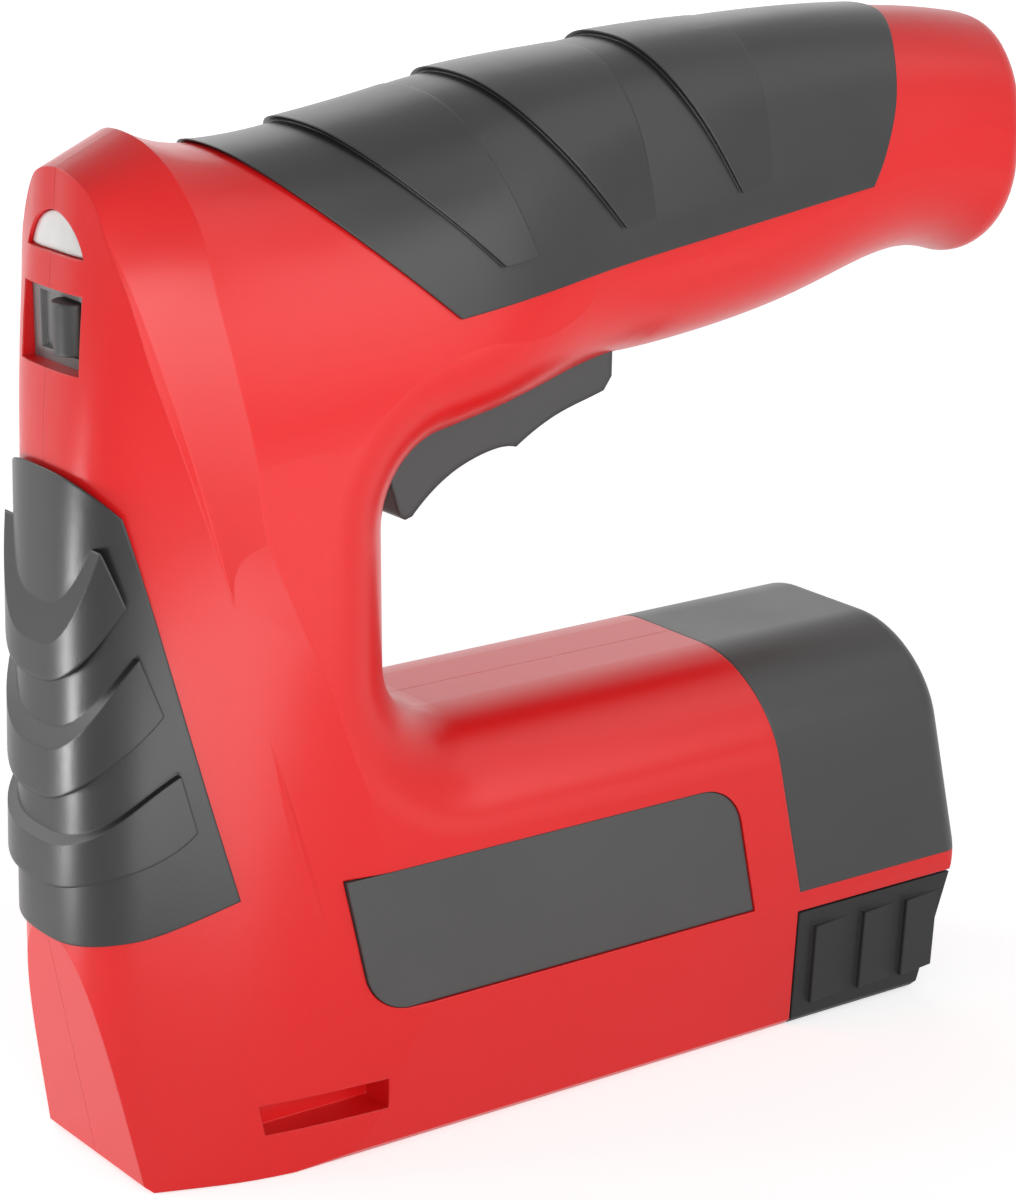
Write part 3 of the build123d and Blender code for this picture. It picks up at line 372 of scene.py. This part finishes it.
pusherSpringLook = {
    "axis": "x", "centre": (0, 0.0052), "start": 0.0521, "end": 0.09, "radius": 0.0025, "wire": 0.00055,
    "turns": 15, "dead": 1,
}
pusherSpring = woundWire("pusherSpringWire", pusherSpringLook)
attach(pusherSpring, "magazine")
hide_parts("pusher_spring")
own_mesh(pusherSpring)
print("springs wound")

stageLook = {
    "floorSize": 3.0, "floorCells": 8, "floorPlace": (0.06, 0, -0.0002), "floorColour": (0.8, 0.8, 0.8, 1),
    "floorGlow": (0.58, 0.87), "glowReach": (0.3, 1.2), "skyColour": (1, 1, 1, 1), "skyLight": 0.26,
    "white": 1.0,
}


def seenRays(tree):  # 1 for rays from the camera, off a gloss or through glass, which meet the white studio
    path = tree.nodes.new("ShaderNodeLightPath")
    direct = tree.nodes.new("ShaderNodeMath")
    every = tree.nodes.new("ShaderNodeMath")
    direct.operation = every.operation = "MAXIMUM"
    tree.links.new(path.outputs["Is Camera Ray"], direct.inputs[0])
    tree.links.new(path.outputs["Is Glossy Ray"], direct.inputs[1])
    tree.links.new(direct.outputs["Value"], every.inputs[0])
    tree.links.new(path.outputs["Is Transmission Ray"], every.inputs[1])
    return every.outputs["Value"]


def addFarGlow(tree, look):  # the floor far from the lamps glows more, so that it stays white
    coords = tree.nodes.new("ShaderNodeTexCoord")
    away = tree.nodes.new("ShaderNodeVectorMath")
    away.operation = "LENGTH"
    fade = tree.nodes.new("ShaderNodeMapRange")
    fade.inputs["From Min"].default_value, fade.inputs["From Max"].default_value = look["glowReach"]
    fade.inputs["To Min"].default_value, fade.inputs["To Max"].default_value = look["floorGlow"]
    tree.links.new(coords.outputs["Object"], away.inputs[0])
    tree.links.new(away.outputs["Value"], fade.inputs["Value"])
    return fade.outputs["Result"]


def makeFloor(look):
    mesh = bmesh.new()
    cells = look["floorCells"]
    bmesh.ops.create_grid(mesh, x_segments=cells, y_segments=cells, size=look["floorSize"])
    data = bpy.data.meshes.new("studioFloor")
    mesh.to_mesh(data)
    mesh.free()
    floor = bpy.data.objects.new("studioFloor", data)
    floor.location = look["floorPlace"]
    scene.collection.objects.link(floor)
    paint = bpy.data.materials.new("studioFloorPaint")
    paint.use_nodes = True
    tree = paint.node_tree
    tree.nodes.clear()
    end = tree.nodes.new("ShaderNodeOutputMaterial")
    total = tree.nodes.new("ShaderNodeAddShader")
    matt = addNode(tree, "ShaderNodeBsdfDiffuse", Color=look["floorColour"])
    glow = tree.nodes.new("ShaderNodeEmission")
    seen = tree.nodes.new("ShaderNodeMath")
    seen.operation = "MULTIPLY"
    tree.links.new(seenRays(tree), seen.inputs[0])
    tree.links.new(addFarGlow(tree, look), seen.inputs[1])
    tree.links.new(seen.outputs["Value"], glow.inputs["Strength"])
    tree.links.new(matt.outputs["BSDF"], total.inputs[0])
    tree.links.new(glow.outputs["Emission"], total.inputs[1])
    tree.links.new(total.outputs["Shader"], end.inputs["Surface"])
    data.materials.append(paint)


def makeSky(look):
    world = bpy.data.worlds.new("studioSky")
    world.use_nodes = True
    scene.world = world
    tree = world.node_tree
    tree.nodes.clear()
    end = tree.nodes.new("ShaderNodeOutputWorld")
    sky = addNode(tree, "ShaderNodeBackground", Color=look["skyColour"])
    span = tree.nodes.new("ShaderNodeMapRange")
    span.inputs["To Min"].default_value = look["skyLight"]
    span.inputs["To Max"].default_value = look["white"]
    tree.links.new(seenRays(tree), span.inputs["Value"])
    tree.links.new(span.outputs["Result"], sky.inputs["Strength"])
    tree.links.new(sky.outputs["Background"], end.inputs["Surface"])


makeFloor(stageLook)
makeSky(stageLook)

# soft boxes round the table, a strip before the nose, and cards that lie on the floor and face up
keyBoxLook = {"place": (-0.22, -0.62, 0.2), "aim": (0.02, 0, 0.08), "size": (0.4, 0.4), "power": 2.2}
keyRightLook = {"place": (0.3, -0.65, 0.3), "aim": (0.05, 0, 0.08), "size": (0.4, 0.4), "power": 1.1}
topBoxLook = {"place": (0.55, -0.45, 0.75), "aim": (0.06, 0, 0.1), "size": (0.5, 0.5), "power": 0.7}
backFillLook = {"place": (0.4, 0.9, 0.5), "aim": (0.06, 0, 0.07), "size": (0.9, 0.8), "power": 1.2}
backLeftLook = {"place": (-0.45, 0.6, 0.45), "aim": (0.02, 0, 0.08), "size": (0.5, 0.5), "power": 2.2}
noseStripLook = {
    "place": (-0.15, 0.056, 0.028), "aim": (-0.018, 0, 0.05), "size": (0.024, 0.05), "power": 0.11,
}
collarNearLook = {"place": (-0.03, -0.2, 0.003), "aim": (-0.03, -0.2, 1), "size": (0.06, 0.16), "power": 0.12}
collarFarLook = {"place": (-0.11, -0.4, 0.003), "aim": (-0.11, -0.4, 1), "size": (0.1, 0.26), "power": 0.34}
sideCardLook = {"place": (0.16, -0.27, 0.003), "aim": (0.16, -0.27, 1), "size": (0.2, 0.16), "power": 0.16}
lampLooks = {
    "keyBox": keyBoxLook, "keyRight": keyRightLook, "topBox": topBoxLook, "backFill": backFillLook,
    "backLeft": backLeftLook, "noseStrip": noseStripLook, "collarNear": collarNearLook,
    "collarFar": collarFarLook, "sideCard": sideCardLook,
}


def addLamp(name, look):
    data = bpy.data.lights.new(name, "AREA")
    data.shape = "RECTANGLE"
    data.size, data.size_y = look["size"]
    data.energy = look["power"]
    lamp = bpy.data.objects.new(name, data)
    lamp.visible_camera = False
    toward = Vector(look["aim"]) - Vector(look["place"])
    turned = toward.to_track_quat("-Z", "Y").to_matrix().to_4x4()
    lamp.matrix_world = Matrix.Translation(look["place"]) @ turned
    scene.collection.objects.link(lamp)


for name, look in lampLooks.items():
    addLamp(name, look)
print("studio lit,", len(lampLooks), "lamps")

cameraLook = {
    "place": (-0.2125, -0.3753, 0.2056), "azimuth": -35.5, "elevation": 17.0, "lens": 106.5, "sensor": 36.0,
    "near": 0.01,
}


def addCamera(look):
    data = bpy.data.cameras.new("photoCamera")
    data.sensor_fit = "VERTICAL"
    data.sensor_height = look["sensor"]
    data.lens = look["lens"]
    data.clip_start = look["near"]
    turn, rise = math.radians(look["azimuth"]), math.radians(look["elevation"])
    back = Vector((math.sin(turn) * math.cos(rise), -math.cos(turn) * math.cos(rise), math.sin(rise)))
    right = Vector((math.cos(turn), math.sin(turn), 0))
    up = back.cross(right)
    camera = bpy.data.objects.new("photoCamera", data)
    camera.matrix_world = Matrix((
        (right.x, up.x, back.x, look["place"][0]),
        (right.y, up.y, back.y, look["place"][1]),
        (right.z, up.z, back.z, look["place"][2]),
        (0, 0, 0, 1),
    ))
    scene.collection.objects.link(camera)
    scene.camera = camera


addCamera(cameraLook)
print("camera set")
